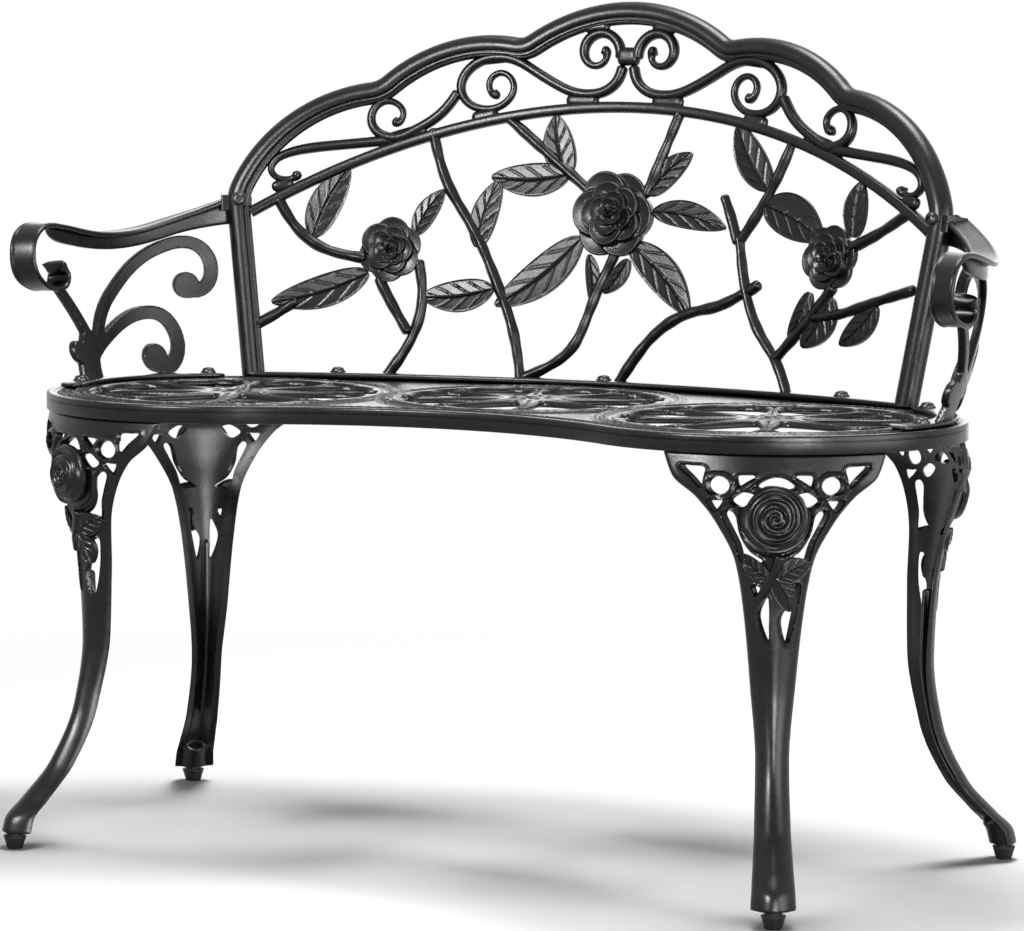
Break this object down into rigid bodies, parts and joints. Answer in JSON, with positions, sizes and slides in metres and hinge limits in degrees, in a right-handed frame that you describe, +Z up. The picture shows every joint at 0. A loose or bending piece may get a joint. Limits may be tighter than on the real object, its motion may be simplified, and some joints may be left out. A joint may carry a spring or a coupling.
{
  "type": "garden bench",
  "caption": "Garden bench of cast metal with a crescent seat, a curved openwork back of roses, leaves and scrolls, scrolled arms and splayed cabriole legs on levelling feet.",
  "frame": {"origin": "middle of the bounding box on the floor", "axes": "+Z up, the sitter faces -Y, +X to the right as seen from the front"},
  "size_m": [1.0162, 0.5492, 0.8209],
  "materials": {
    "powder_coat": "satin charcoal powder coat on cast aluminium",
    "foot_plug": "matt black moulding",
    "stud_steel": "zinc-plated thread"
  },
  "bodies": {
    "bench": {"seat_casting": "powder_coat", "back_rail": "powder_coat", "back_arch_bar": "powder_coat", "back_foot_flange": "powder_coat", "back_scrollwork": "powder_coat", "back_stems": "powder_coat", "back_leaves": "powder_coat", "back_rose_left": "powder_coat", "back_rose_middle": "powder_coat", "back_rose_right": "powder_coat", "right_arm_rail": "powder_coat", "left_arm_rail": "powder_coat", "right_arm_scrolls": "powder_coat", "left_arm_scrolls": "powder_coat", "right_arm_flange": "powder_coat", "left_arm_flange": "powder_coat", "front_right_leg": "powder_coat", "rear_right_leg": "powder_coat", "rear_left_leg": "powder_coat", "front_left_leg": "powder_coat"},
    "front_right_foot": {"front_right_glide": "foot_plug", "front_right_stud": "stud_steel"},
    "rear_right_foot": {"rear_right_glide": "foot_plug", "rear_right_stud": "stud_steel"},
    "rear_left_foot": {"rear_left_glide": "foot_plug", "rear_left_stud": "stud_steel"},
    "front_left_foot": {"front_left_glide": "foot_plug", "front_left_stud": "stud_steel"}
  },
  "joints": [
    {"name": "front_right_foot_slide", "type": "slide", "parent": "bench", "child": "front_right_foot", "axis": [0, 0, -1], "range_m": [0, 0.006]},
    {"name": "rear_right_foot_slide", "type": "slide", "parent": "bench", "child": "rear_right_foot", "axis": [0, 0, -1], "range_m": [0, 0.006]},
    {"name": "rear_left_foot_slide", "type": "slide", "parent": "bench", "child": "rear_left_foot", "axis": [0, 0, -1], "range_m": [0, 0.006]},
    {"name": "front_left_foot_slide", "type": "slide", "parent": "bench", "child": "front_left_foot", "axis": [0, 0, -1], "range_m": [0, 0.006]}
  ]
}
